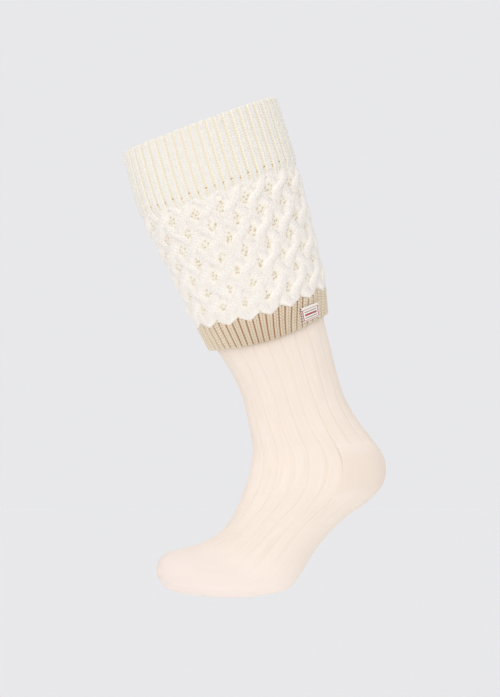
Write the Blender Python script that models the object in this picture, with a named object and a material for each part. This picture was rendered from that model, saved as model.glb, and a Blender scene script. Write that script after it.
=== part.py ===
"""A knee-length country sock with a turned-over cuff, in the form that a leg gives it.

Metres, +Z up. The origin is the middle of the top opening, where the leg goes in.
The toe points to -X and the heel to +X, and the sock's width lies along Y.

Every piece is a wall between two surfaces that follow the same body of sections. A place on
that body is given by a distance down the sock from the top fold, a turn around it (0 at the
back, 0.25 on the -Y side, 0.5 at the front), and a height above the outer face of the leg.
"""

from collections import namedtuple
from functools import partial
from math import cos, hypot, pi, radians, sin

import bmesh
import bpy
import numpy as np

# Leg and foot
leg_height = 0.3215
calf_depth = 0.153
calf_width = 0.089
foot_length = 0.243
heel_depth = 0.136
foot_width = 0.080
leg_wall = 0.002
squareness = 2.3

# Wide flat ribs of the leg and instep
leg_ribs = 20
leg_groove = 0.0009
heel_ribs = 7

# Turned-over cuff
rib_length = 0.068
cable_length = 0.126
band_length = 0.0255
rib_wall = 0.0045
cable_wall = 0.0058
band_wall = 0.0042
hook_depth = 0.014
cuff_ease = 0.0012
cuff_flare = 0.0025
cuff_bow = 0.009
cuff_ribs = 48
rib_relief = 0.0012

# Cable lattice: strands cross between the holes, which stand in staggered rows
cable_periods = 16
cable_rows = 8
hole_depth = 0.0024
crossing_rise = 0.0010
scallop = 0.0025

# Woven label on the band, towards the back on the -Y side
label_width = 0.020
label_height = 0.014
label_thickness = 0.0008
label_turn = 0.116
label_drop = 0.0032

# Room that neighbouring pieces keep
seam_gap = 0.0004
label_gap = 0.0003

# Leg sections, top to ankle. along_x and down are shares of leg_height,
# depth of calf_depth, width of calf_width; tilt is the rise towards the back, in degrees.
LegRow = namedtuple("LegRow", "along_x down depth width tilt")
LEG_ROWS = [
    LegRow(0.000, 0.000, 1.000, 1.000, 20.2),
    LegRow(0.060, 0.198, 1.005, 1.030, 19.6),
    LegRow(0.126, 0.372, 0.912, 1.010, 18.0),
    LegRow(0.196, 0.572, 0.805, 0.920, 17.4),
    LegRow(0.220, 0.645, 0.733, 0.830, 17.4),
    LegRow(0.263, 0.754, 0.656, 0.740, 15.2),
    LegRow(0.285, 0.823, 0.638, 0.700, 13.6),
    LegRow(0.308, 0.899, 0.658, 0.665, 12.4),
    LegRow(0.338, 0.969, 0.731, 0.675, 9.3),
]
ankle_along_x = 0.352

# Foot sections, from the ankle round the heel to the toe. forward and down are shares of
# foot_length from the ankle, depth of heel_depth, width of foot_width.
FootRow = namedtuple("FootRow", "name forward down depth width tilt")
FOOT_ROWS = [
    FootRow("ankle", -0.003, 0.000, 0.888, 0.760, 5.7),
    FootRow("heel_top", -0.021, 0.056, 0.974, 0.775, 3.2),
    FootRow("heel_back", -0.021, 0.111, 1.008, 0.790, 1.8),
    FootRow("heel_low", -0.007, 0.165, 1.008, 0.800, 0.9),
    FootRow("gore", 0.023, 0.212, 0.966, 0.800, 0.4),
    FootRow("arch_back", 0.100, 0.294, 0.802, 0.810, -2.6),
    FootRow("arch", 0.177, 0.382, 0.725, 0.875, -8.5),
    FootRow("ball", 0.250, 0.460, 0.760, 0.975, -17.0),
    FootRow("ball_front", 0.290, 0.496, 0.775, 1.000, -23.2),
    FootRow("toe_root", 0.357, 0.515, 0.675, 1.000, -30.6),
    FootRow("toe_seam", 0.427, 0.524, 0.557, 0.965, -38.8),
    FootRow("toe_wide", 0.491, 0.526, 0.465, 0.915, -46.0),
    FootRow("toe_round", 0.545, 0.530, 0.373, 0.810, -53.0),
    FootRow("toe_front", 0.591, 0.533, 0.278, 0.650, -60.7),
    FootRow("toe_end", 0.618, 0.539, 0.185, 0.425, -66.5),
]
tip_forward = 0.634
tip_down = 0.540

# How far the cuff stands off the leg, as shares of cuff_flare, down the length of the cuff.
CuffRow = namedtuple("CuffRow", "down front back")
CUFF_ROWS = [
    CuffRow(0.00, 0.0, 0.0),
    CuffRow(0.31, 0.0, 0.0),
    CuffRow(0.87, 0.3, 0.0),
    CuffRow(1.00, 1.0, 0.1),
]

# Places of rings between the ends of a piece, as shares of its length.
CABLE_INNER_SHARES = [0.0, 0.33, 0.66, 1.0]
LEG_INNER_SHARES = [0.93, 0.84, 0.73, 0.60, 0.35]
leg_rings_below_cuff = 9

# Knit colours: sRGB, 0 to 255
CREAM_RIB = (246, 238, 226)
CREAM_CABLE = (245, 237, 228)
CREAM_LEG = (247, 231, 218)
TAN = (204, 183, 157)
LABEL_WHITE = (243, 236, 228)
knit_roughness = 0.95

Section = namedtuple("Section", "x z depth width tilt")


def body_sections():
    """The sections of leg and foot in metres, with the tilt in degrees."""
    sections = [
        Section(
            row.along_x * leg_height,
            -row.down * leg_height,
            row.depth * calf_depth,
            row.width * calf_width,
            row.tilt,
        )
        for row in LEG_ROWS
    ]
    for row in FOOT_ROWS:
        sections.append(
            Section(
                ankle_along_x * leg_height - row.forward * foot_length,
                -leg_height - row.down * foot_length,
                row.depth * heel_depth,
                row.width * foot_width,
                row.tilt,
            )
        )
    return sections


def edge_step(first, second):
    """The mean distance that the front and the back edge travel between two sections."""
    steps = []
    for side in (-0.5, 0.5):
        ends = []
        for row in (first, second):
            reach = side * row.depth
            ends.append((row.x + reach * cos(radians(row.tilt)), row.z + reach * sin(radians(row.tilt))))
        steps.append(hypot(ends[1][0] - ends[0][0], ends[1][1] - ends[0][1]))
    return sum(steps) / 2


SECTIONS = body_sections()
DISTANCES = [0.0]
for upper, lower in zip(SECTIONS, SECTIONS[1:]):
    DISTANCES.append(DISTANCES[-1] + edge_step(upper, lower))
FOOT_AT = {row.name: DISTANCES[len(LEG_ROWS) + i] for i, row in enumerate(FOOT_ROWS)}


def section_at(distance):
    """The section at a distance down the sock, on a smooth curve through the sections."""
    values = np.array(SECTIONS)
    places = np.array(DISTANCES)
    slopes = np.gradient(values, places, axis=0)
    distance = float(np.clip(distance, places[0], places[-1]))
    i = min(int(np.searchsorted(places, distance, side="right")) - 1, len(places) - 2)
    span = places[i + 1] - places[i]
    t = (distance - places[i]) / span
    blended = (
        (2 * t**3 - 3 * t**2 + 1) * values[i]
        + (t**3 - 2 * t**2 + t) * span * slopes[i]
        + (3 * t**2 - 2 * t**3) * values[i + 1]
        + (t**3 - t**2) * span * slopes[i + 1]
    )
    return Section(*blended)


RING_ANGLES = np.linspace(0, 2 * pi, 257)


def rounded_box_curve(angle):
    """A unit curve between an ellipse and a rectangle."""
    power = 2 / squareness
    u = np.sign(np.cos(angle)) * np.abs(np.cos(angle)) ** power
    v = np.sign(np.sin(angle)) * np.abs(np.sin(angle)) ** power
    return u, v


def ring_steps(section, angles):
    """Lengths of the steps between angles around a section's ring."""
    u, v = rounded_box_curve(angles)
    return np.hypot(np.diff(u) * section.depth / 2, np.diff(v) * section.width / 2)


def ring_length(section):
    """The length around a section's ring."""
    return float(ring_steps(section, RING_ANGLES).sum())


def ring_share(section, turn):
    """Unit coordinates on a section's ring at a share of its length around, from the back."""
    around = np.concatenate([[0.0], np.cumsum(ring_steps(section, RING_ANGLES))])
    angle = np.interp(turn % 1.0, around / around[-1], RING_ANGLES)
    return rounded_box_curve(angle)


def place(distance, turn, height, front=0.0, back=0.0):
    """A point at a distance down, a turn around and a height above the leg's outer face."""
    section = section_at(distance)
    u, v = ring_share(section, turn)
    reach = (section.depth / 2 + height + (front + back) / 2) * u + (back - front) / 2
    x = section.x + reach * cos(radians(section.tilt))
    z = section.z + reach * sin(radians(section.tilt))
    return (x, -(section.width / 2 + height) * v, z)


def turns(columns):
    """Even turns around a ring."""
    return [column / columns for column in range(columns)]


def knit_material(name, srgb):
    """A matt yarn colour."""
    material = bpy.data.materials.new(name)
    material.use_nodes = True
    shader = material.node_tree.nodes["Principled BSDF"]
    linear = [(c / 255 / 12.92) if c <= 10 else ((c / 255 + 0.055) / 1.055) ** 2.4 for c in srgb]
    shader.inputs["Base Color"].default_value = (*linear, 1.0)
    shader.inputs["Roughness"].default_value = knit_roughness
    shader.inputs["Metallic"].default_value = 0.0
    material.diffuse_color = (*linear, 1.0)
    return material


def add_piece(name, body, srgb):
    """Makes an object of a bmesh, with its faces pointing out and a material of its own."""
    bmesh.ops.recalc_face_normals(body, faces=body.faces)
    mesh = bpy.data.meshes.new(name)
    body.to_mesh(mesh)
    body.free()
    mesh.shade_smooth()
    mesh.materials.append(knit_material(name + "_knit", srgb))
    piece = bpy.data.objects.new(name, mesh)
    piece.parent = opening
    sock.objects.link(piece)
    return piece


def loop_of_rings(name, rings, srgb, diamonds=False):
    """A tube wall: rings run down its outer face, then up its inner face, and close.

    Diamonds splits the cells so that every second point of every second ring is the middle of
    a diamond, which keeps a lattice of hollows and crossings even on both slants.
    """
    body = bmesh.new()
    loops = [[body.verts.new(point) for point in ring] for ring in rings]
    for i, loop in enumerate(loops):
        following = loops[(i + 1) % len(loops)]
        for j in range(len(loop)):
            k = (j + 1) % len(loop)
            if not diamonds:
                body.faces.new((loop[j], loop[k], following[k], following[j]))
            elif (i + j) % 2 == 0:
                body.faces.new((loop[j], loop[k], following[j]))
                body.faces.new((loop[k], following[k], following[j]))
            else:
                body.faces.new((loop[j], loop[k], following[k]))
                body.faces.new((loop[j], following[k], following[j]))
    return add_piece(name, body, srgb)


def wall_on_grid(name, outer, inner, srgb, kept=lambda i, j: True, wraps=False):
    """A wall between two grids of points, with an end face wherever a cell has no neighbour."""
    body = bmesh.new()
    rows = len(outer) - 1
    columns = len(outer[0]) if wraps else len(outer[0]) - 1
    width = len(outer[0])
    made = {}

    def vertex(face, i, j):
        key = (face, i, j % width)
        if key not in made:
            grid = outer if face == "outer" else inner
            made[key] = body.verts.new(grid[i][j % width])
        return made[key]

    def is_kept(i, j):
        if wraps:
            j %= columns
        return 0 <= i < rows and 0 <= j < columns and kept(i, j)

    for i in range(rows):
        for j in range(columns):
            if not is_kept(i, j):
                continue
            corners = [(i, j), (i, j + 1), (i + 1, j + 1), (i + 1, j)]
            neighbours = [(i - 1, j), (i, j + 1), (i + 1, j), (i, j - 1)]
            body.faces.new([vertex("outer", *c) for c in corners])
            body.faces.new([vertex("inner", *c) for c in reversed(corners)])
            for side in range(4):
                if is_kept(*neighbours[side]):
                    continue
                a, b = corners[side], corners[(side + 1) % 4]
                end_face = [("outer", *b), ("outer", *a), ("inner", *a), ("inner", *b)]
                body.faces.new([vertex(*corner) for corner in end_face])
    return add_piece(name, body, srgb)


# Leg

columns_per_leg_rib = 3


def leg_columns():
    """The turn and groove depth of each column: a groove, then the two edges of a flat rib.

    The middle of the back and of the front lies on the middle of a rib.
    """
    columns = []
    for column in range(leg_ribs * columns_per_leg_rib):
        turn = (column / columns_per_leg_rib + 0.5) / leg_ribs
        columns.append((turn, 0.0 if column % columns_per_leg_rib else leg_groove))
    return columns


def leg_ring(distance, height, ribbed):
    """One ring of the leg, on its outer or inner face."""
    return [place(distance, turn, height - ribbed * groove) for turn, groove in leg_columns()]


def build_leg():
    """The leg's rings follow those of the cuff that lies over it, then run on to the ankle."""
    top = hook_depth + seam_gap
    bottom = FOOT_AT["ankle"] - seam_gap / 2
    hem = cuff_length()
    step = (bottom - hem) / (leg_rings_below_cuff + 1)
    under_cuff = [rib_length + share * cable_length for share in CABLE_INNER_SHARES]
    below_cuff = [hem + step * i for i in range(leg_rings_below_cuff + 1)]
    outer = [leg_ring(d, 0.0, True) for d in [top] + under_cuff + below_cuff + [bottom]]
    inside = [share * bottom for share in LEG_INNER_SHARES]
    inner = [leg_ring(d, -leg_wall, False) for d in [bottom] + inside + [top]]
    return loop_of_rings("leg", outer + inner, CREAM_LEG)


# Heel, foot and toe

foot_row_names = ["ankle", "heel_top", "heel_back", "heel_low", "gore", "arch_back", "arch"]
foot_row_names += ["ball", "ball_front", "toe_root", "toe_seam"]
toe_row_names = ["toe_seam", "toe_wide", "toe_round", "toe_front", "toe_end"]
heel_rows = foot_row_names.index("gore")
first_instep_column = (heel_ribs - 1) // 2 * columns_per_leg_rib
last_instep_column = first_instep_column + (leg_ribs - heel_ribs) * columns_per_leg_rib
toe_columns = 36


def heel_half_turn():
    """The turn from the middle of the heel to its edge, which follows a groove."""
    return heel_ribs / 2 / leg_ribs


def seam_turn():
    """Half the gap of a lengthwise seam, as a turn."""
    return seam_gap / 2 / ring_length(section_at(FOOT_AT["ankle"]))


def foot_grid(height, ribbed):
    """The foot's grid on one face: its columns follow the leg's, ribs lie on the instep only."""
    grid = []
    for i, name in enumerate(foot_row_names):
        distance = FOOT_AT[name]
        if i == 0:
            distance += seam_gap / 2
        if i == len(foot_row_names) - 1:
            distance -= seam_gap / 2
        fade = min(1.0, (len(foot_row_names) - 2 - i) / 2) if i < len(foot_row_names) - 2 else 0.0
        row = []
        for column, (turn, groove) in enumerate(leg_columns()):
            on_instep = first_instep_column <= column <= last_instep_column
            if i <= heel_rows and column == first_instep_column:
                turn += seam_turn()
            if i <= heel_rows and column == last_instep_column:
                turn -= seam_turn()
            row.append(place(distance, turn, height - groove * fade * ribbed * on_instep))
        grid.append(row)
    return grid


def build_foot():
    def kept(i, j):
        return i >= heel_rows or first_instep_column <= j < last_instep_column

    inner = foot_grid(-leg_wall, False)
    return wall_on_grid("foot", foot_grid(0.0, True), inner, CREAM_LEG, kept, wraps=True)


def heel_grid(height):
    """The heel's grid on one face, from its -Y edge round the back to its +Y edge."""
    columns = heel_ribs * columns_per_leg_rib
    edge = heel_half_turn() - seam_turn()
    grid = []
    for i in range(heel_rows + 1):
        distance = FOOT_AT[foot_row_names[i]]
        if i == 0:
            distance += seam_gap / 2
        if i == heel_rows:
            distance -= seam_gap
        grid.append([place(distance, edge * (1 - 2 * j / columns), height) for j in range(columns + 1)])
    return grid


def build_heel():
    return wall_on_grid("heel", heel_grid(0.0), heel_grid(-leg_wall), CREAM_LEG)


def build_toe():
    """A closed cup: rings to a point outside, and back from a point inside."""
    body = bmesh.new()
    loops = []
    for height, names in ((0.0, toe_row_names), (-leg_wall, toe_row_names[::-1])):
        for name in names:
            distance = FOOT_AT[name]
            if name == toe_row_names[0]:
                distance += seam_gap / 2
            loops.append([body.verts.new(place(distance, t, height)) for t in turns(toe_columns)])
    tip_x = ankle_along_x * leg_height - tip_forward * foot_length
    tip_z = -leg_height - tip_down * foot_length
    outer_tip = body.verts.new((tip_x, 0.0, tip_z))
    inner_tip = body.verts.new((tip_x + leg_wall, 0.0, tip_z))
    rows = len(toe_row_names)
    for i, loop in enumerate(loops):
        following = loops[(i + 1) % len(loops)]
        for j in range(toe_columns):
            k = (j + 1) % toe_columns
            if i == rows - 1:
                body.faces.new((loop[j], loop[k], outer_tip))
                body.faces.new((inner_tip, following[k], following[j]))
            else:
                body.faces.new((loop[j], loop[k], following[k], following[j]))
    return add_piece("toe", body, CREAM_LEG)


# Cuff

def cuff_length():
    """The cuff's whole drop from the fold."""
    return rib_length + cable_length + band_length


def cuff_place(distance, turn, height):
    """A point on the cuff, whose knit rows bow down on the sides and stand off at the hem."""
    share = distance / cuff_length()
    downs = [row.down for row in CUFF_ROWS]
    front = cuff_flare * float(np.interp(share, downs, [row.front for row in CUFF_ROWS]))
    back = cuff_flare * float(np.interp(share, downs, [row.back for row in CUFF_ROWS]))
    bow = cuff_bow * max(0.0, (distance - hook_depth) / (cuff_length() - hook_depth))
    u = ring_share(section_at(distance), turn)[0]
    return place(distance + bow * (1 - u**2), turn, height, front, back)


def cuff_rib_at(turn):
    """The height of the fine ribs: a crest on even columns, a groove on odd ones."""
    return -rib_relief if round(turn * cuff_ribs * 2) % 2 else 0.0


def build_cuff_rib():
    """The ribbed top: down the outside, round the fold, and a hook that meets the leg's edge."""
    outer = cuff_ease + rib_wall
    middle = (outer - leg_wall) / 2
    radius = (outer + leg_wall) / 2
    end = rib_length - seam_gap / 2
    profile = [(end, outer, 1.0), (radius, outer, 1.0)]
    for angle in (45, 90, 135):
        rise = radius * (1 - sin(radians(angle)))
        profile.append((rise, middle + radius * cos(radians(angle)), 1 - angle / 180))
    profile += [(radius, -leg_wall, 0.0), (hook_depth, -leg_wall, 0.0)]
    profile += [(hook_depth, cuff_ease, 0.0), (end, cuff_ease, 0.0)]
    rings = []
    for distance, height, relief in profile:
        around = turns(2 * cuff_ribs)
        rings.append([cuff_place(distance, t, height + relief * cuff_rib_at(t)) for t in around])
    return loop_of_rings("cuff_rib", rings[::-1], CREAM_RIB)


def scallop_at(turn):
    """How far the cable's lower edge rises, in an even zigzag with one lobe for each period."""
    phase = (turn * cable_periods) % 1.0
    return scallop * (4 * abs(phase - 0.5) - 1)


def cable_relief(turn, row):
    """The lattice: holes where both waves meet, and strands that cross half a period away."""
    wave = cos(2 * pi * cable_periods * turn) * cos(pi * row)
    return -hole_depth * wave if wave > 0 else -crossing_rise * wave


def cuff_ring_down(distance, height, lift_share, columns, relief=lambda t: 0.0):
    """A ring of the cuff whose places move up with a share of the scalloped seam."""
    around = turns(columns)
    return [cuff_place(distance - lift_share * scallop_at(t), t, height + relief(t)) for t in around]


def lift_at(share):
    """How much of the scalloped seam's rise a ring of the cable takes: all of it at the seam."""
    return max(0.0, 1 - (1 - share) * cable_rows / 2)


def build_cuff_cable():
    columns = 4 * cable_periods
    half_rows = 2 * cable_rows
    top = rib_length + seam_gap / 2
    bottom = rib_length + cable_length - seam_gap / 2
    height = cuff_ease + cable_wall
    outer = []
    for step in range(half_rows + 1):
        share = step / half_rows
        distance = top + (bottom - top) * share
        lift = lift_at(share)
        relief = partial(cable_relief, row=step / 2)
        outer.append(cuff_ring_down(distance, height, lift, columns, relief))
    inner = []
    for share in reversed(CABLE_INNER_SHARES):
        distance = top + (bottom - top) * share
        lift = lift_at(share)
        inner.append(cuff_ring_down(distance, cuff_ease, lift, columns))
    return loop_of_rings("cuff_cable", outer + inner, CREAM_CABLE, diamonds=True)


def build_cuff_band():
    """The ribbed hem: its top follows the scalloped seam and its bottom edge is rounded."""
    columns = 2 * cuff_ribs
    top = rib_length + cable_length + seam_gap / 2
    bottom = cuff_length()
    height = cuff_ease + band_wall
    edge = band_wall / 3
    outer = [cuff_ring_down(top, height, 1.0, columns, cuff_rib_at)]
    outer.append(cuff_ring_down((top + bottom) / 2, height, 0.0, columns, cuff_rib_at))
    outer.append(cuff_ring_down(bottom - edge, height, 0.0, columns, cuff_rib_at))
    hem = [cuff_ring_down(bottom, cuff_ease + band_wall / 2, 0.0, columns)]
    inner = [cuff_ring_down(bottom - edge, cuff_ease, 0.0, columns)]
    inner.append(cuff_ring_down(top, cuff_ease, 1.0, columns))
    return loop_of_rings("cuff_band", outer + hem + inner, TAN)


# Label

def build_label():
    """A thin woven patch that lies on the crests of the band's ribs."""
    columns, rows = 6, 3
    centre = rib_length + cable_length + band_length / 2 + label_drop
    turn_span = label_width / ring_length(section_at(centre))
    lowest = cuff_ease + band_wall + label_gap

    def grid(height):
        return [
            [
                cuff_place(
                    centre + label_height * (i / rows - 0.5),
                    label_turn + turn_span * (0.5 - j / columns),
                    height,
                )
                for j in range(columns + 1)
            ]
            for i in range(rows + 1)
        ]

    return wall_on_grid("label", grid(lowest + label_thickness), grid(lowest), LABEL_WHITE)


# Assembly

for old in list(bpy.data.objects):
    bpy.data.objects.remove(old, do_unlink=True)

sock = bpy.data.collections.new("sock")
bpy.context.scene.collection.children.link(sock)
opening = bpy.data.objects.new("opening", None)
sock.objects.link(opening)

build_leg()
build_heel()
build_foot()
build_toe()
build_cuff_rib()
build_cuff_cable()
build_cuff_band()
build_label()
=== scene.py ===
"""The looks of a knee-length country sock with a turned-over cuff.

Metres, +Z up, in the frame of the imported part: the origin is the middle of the top opening,
the toe points to -X, the heel to +X, and the camera stands on the -Y side.
"""

from collections import namedtuple
from math import pi, radians

import bpy
import numpy as np
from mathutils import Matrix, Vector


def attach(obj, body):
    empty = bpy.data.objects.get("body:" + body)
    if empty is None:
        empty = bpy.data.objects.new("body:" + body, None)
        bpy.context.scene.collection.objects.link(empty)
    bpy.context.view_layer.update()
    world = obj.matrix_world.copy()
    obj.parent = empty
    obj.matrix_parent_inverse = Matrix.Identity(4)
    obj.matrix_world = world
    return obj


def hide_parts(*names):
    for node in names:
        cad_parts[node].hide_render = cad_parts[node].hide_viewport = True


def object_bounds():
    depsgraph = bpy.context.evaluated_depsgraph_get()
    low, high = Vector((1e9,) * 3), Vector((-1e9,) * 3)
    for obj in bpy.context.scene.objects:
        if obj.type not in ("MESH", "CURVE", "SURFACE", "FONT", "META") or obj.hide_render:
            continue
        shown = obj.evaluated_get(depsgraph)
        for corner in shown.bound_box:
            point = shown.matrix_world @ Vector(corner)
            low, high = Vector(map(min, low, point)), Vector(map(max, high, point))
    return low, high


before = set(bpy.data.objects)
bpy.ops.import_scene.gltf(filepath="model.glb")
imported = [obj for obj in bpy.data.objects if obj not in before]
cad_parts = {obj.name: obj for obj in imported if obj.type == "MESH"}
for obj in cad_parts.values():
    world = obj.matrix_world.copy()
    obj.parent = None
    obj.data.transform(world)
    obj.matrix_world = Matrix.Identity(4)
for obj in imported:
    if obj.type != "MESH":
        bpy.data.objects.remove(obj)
cad_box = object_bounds()


# Leg: a fine wool and cotton tube in wide flat ribs, knitted from the cuff down and drawn over
# the calf. Its body is a row of oval sections from the fold to the toe, and every other piece
# of the sock lies on that same body.

leg_height = 0.3215
calf_depth = 0.153
calf_width = 0.089
foot_length = 0.243
heel_depth = 0.136
foot_width = 0.080
leg_wall = 0.002
squareness = 2.3
ankle_along_x = 0.352
tip_forward = 0.634
tip_down = 0.540

# Shares of leg_height, calf_depth and calf_width, and the rise towards the back in degrees.
LegRow = namedtuple("LegRow", "along_x down depth width tilt")
LEG_ROWS = [
    LegRow(0.000, 0.000, 1.000, 1.000, 20.2),
    LegRow(0.060, 0.198, 1.005, 1.030, 19.6),
    LegRow(0.126, 0.372, 0.912, 1.010, 18.0),
    LegRow(0.196, 0.572, 0.805, 0.920, 17.4),
    LegRow(0.220, 0.645, 0.733, 0.830, 17.4),
    LegRow(0.263, 0.754, 0.656, 0.740, 15.2),
    LegRow(0.285, 0.823, 0.638, 0.700, 13.6),
    LegRow(0.308, 0.899, 0.658, 0.665, 12.4),
    LegRow(0.338, 0.969, 0.731, 0.675, 9.3),
]

# Shares of foot_length from the ankle, of heel_depth and of foot_width, and the tilt.
FootRow = namedtuple("FootRow", "name forward down depth width tilt")
FOOT_ROWS = [
    FootRow("ankle", -0.003, 0.000, 0.888, 0.760, 5.7),
    FootRow("heel_top", -0.021, 0.056, 0.974, 0.775, 3.2),
    FootRow("heel_back", -0.021, 0.111, 1.008, 0.790, 1.8),
    FootRow("heel_low", -0.007, 0.165, 1.008, 0.800, 0.9),
    FootRow("gore", 0.023, 0.212, 0.966, 0.800, 0.4),
    FootRow("arch_back", 0.100, 0.294, 0.802, 0.810, -2.6),
    FootRow("arch", 0.177, 0.382, 0.725, 0.875, -8.5),
    FootRow("ball", 0.250, 0.460, 0.760, 0.975, -17.0),
    FootRow("ball_front", 0.290, 0.496, 0.775, 1.000, -23.2),
    FootRow("toe_root", 0.357, 0.515, 0.675, 1.000, -30.6),
    FootRow("toe_seam", 0.427, 0.524, 0.557, 0.965, -38.8),
    FootRow("toe_wide", 0.491, 0.526, 0.465, 0.915, -46.0),
    FootRow("toe_round", 0.545, 0.530, 0.373, 0.810, -53.0),
    FootRow("toe_front", 0.591, 0.533, 0.278, 0.650, -60.7),
    FootRow("toe_end", 0.618, 0.539, 0.185, 0.425, -66.5),
]


def foot_centre(forward, down):
    """Where the middle of a foot section lies."""
    return ankle_along_x * leg_height - forward * foot_length, -leg_height - down * foot_length


def body_sections():
    """Columns of x, z, depth, width and tilt for the rows of leg and foot."""
    rows = []
    for row in LEG_ROWS:
        middle = (row.along_x * leg_height, -row.down * leg_height)
        rows.append((*middle, row.depth * calf_depth, row.width * calf_width, row.tilt))
    for row in FOOT_ROWS:
        middle = foot_centre(row.forward, row.down)
        rows.append((*middle, row.depth * heel_depth, row.width * foot_width, row.tilt))
    return np.array(rows)


def travelled(rows):
    """How far down the sock each row lies: the mean way of its front and back edge."""
    total = np.zeros(len(rows))
    for side in (-0.5, 0.5):
        slope = np.radians(rows[:, 4])
        edge_x = rows[:, 0] + side * rows[:, 2] * np.cos(slope)
        edge_z = rows[:, 1] + side * rows[:, 2] * np.sin(slope)
        total[1:] += np.cumsum(np.hypot(np.diff(edge_x), np.diff(edge_z))) / 2
    return total


def smooth_rows(places, rows, wanted):
    """The rows on a smooth curve through them, at the wanted places."""
    slopes = np.gradient(rows, places, axis=0)
    i = np.clip(np.searchsorted(places, wanted, side="right") - 1, 0, len(places) - 2)
    span = (places[i + 1] - places[i])[:, None]
    t = (wanted - places[i])[:, None] / span
    start = (2 * t**3 - 3 * t**2 + 1) * rows[i] + (t**3 - 2 * t**2 + t) * span * slopes[i]
    return start + (3 * t**2 - 2 * t**3) * rows[i + 1] + (t**3 - t**2) * span * slopes[i + 1]


body_rows = body_sections()
row_places = travelled(body_rows)
FOOT_AT = {row.name: row_places[len(LEG_ROWS) + i] for i, row in enumerate(FOOT_ROWS)}

# Sections every half millimetre, and a rounded cap from the last toe section to the tip.
section_step = 0.0005
cap_steps = 16
cap_start = 48
cap_end = 89
body_places = np.arange(0, row_places[-1], section_step)
body_table = smooth_rows(row_places, body_rows, body_places)
cap_turn = np.linspace(radians(cap_start), radians(cap_end), cap_steps)[:, None]
cap_reach = (np.sin(cap_turn) - np.sin(cap_turn[0])) / (1 - np.sin(cap_turn[0]))
tip_x, tip_z = foot_centre(tip_forward, tip_down)
cap_table = np.repeat(body_rows[-1:], cap_steps, axis=0)
cap_table[:, :2] += (np.array([[tip_x, tip_z]]) - cap_table[:, :2]) * cap_reach
cap_table[:, 2:4] *= np.cos(cap_turn) / np.cos(cap_turn[0])
body_table = np.concatenate([body_table, cap_table])
body_places = np.concatenate([body_places, row_places[-1] + travelled(cap_table)])
toe_tip_at = body_places[-1]
even_places = np.arange(0, toe_tip_at, section_step)
even_columns = [np.interp(even_places, body_places, column) for column in body_table.T]
SECTIONS = np.stack(even_columns, axis=1)

# The same ring of even steps for every section, as unit coordinates on a rounded oval.
ring_steps = 512
least_size = 1e-4
ring_angles = np.linspace(0, 2 * pi, 4 * ring_steps + 1)
OVAL_U = np.sign(np.cos(ring_angles)) * np.abs(np.cos(ring_angles)) ** (2 / squareness)
OVAL_V = np.sign(np.sin(ring_angles)) * np.abs(np.sin(ring_angles)) ** (2 / squareness)


def even_ring(depth, width):
    """A section's ring in steps of even length, and its whole length."""
    steps = np.hypot(np.diff(OVAL_U) * depth / 2, np.diff(OVAL_V) * width / 2)
    around = np.concatenate([[0.0], np.cumsum(steps)])
    angle = np.interp(np.linspace(0, around[-1], ring_steps + 1), around, ring_angles)
    u = np.interp(angle, ring_angles, OVAL_U)
    v = np.interp(angle, ring_angles, OVAL_V)
    return u, v, around[-1]


rings = [even_ring(max(row[2], least_size), max(row[3], least_size)) for row in SECTIONS]
RING_U = np.array([ring[0] for ring in rings])
RING_V = np.array([ring[1] for ring in rings])
RING_LENGTH = np.array([ring[2] for ring in rings])


def on_ring(distance, turn):
    """Unit coordinates on the ring at a distance down and a turn around from the back."""
    row = np.clip(distance / section_step, 0, len(SECTIONS) - 1.001)
    column = (turn % 1.0) * ring_steps
    i = row.astype(int)
    j = np.minimum(column.astype(int), ring_steps - 1)
    f = row - i
    g = column - j
    pair = []
    for table in (RING_U, RING_V):
        upper = table[i, j] * (1 - g) + table[i, j + 1] * g
        lower = table[i + 1, j] * (1 - g) + table[i + 1, j + 1] * g
        pair.append(upper * (1 - f) + lower * f)
    return pair


def ring_length(distance):
    """The length around the sock at a distance down."""
    return np.interp(distance, even_places, RING_LENGTH)


def place(distance, turn, height, front=0.0, back=0.0):
    """Points at a distance down, a turn around and a height above the leg's outer face."""
    distance, turn, height = np.broadcast_arrays(distance, turn, height)
    sizes_there = [np.interp(distance, even_places, column) for column in SECTIONS.T]
    x, z, depth, width, tilt = sizes_there
    u, v = on_ring(distance, turn)
    reach = (depth / 2 + height + (front + back) / 2) * u + (back - front) / 2
    slope = np.radians(tilt)
    side = -(width / 2 + height) * v
    return np.stack([x + reach * np.cos(slope), side, z + reach * np.sin(slope)], axis=-1)


def put_in_scene(name, data):
    """A new object made of a mesh, lamp or camera."""
    made = bpy.data.objects.new(name, data)
    bpy.context.scene.collection.objects.link(made)
    return made


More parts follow.
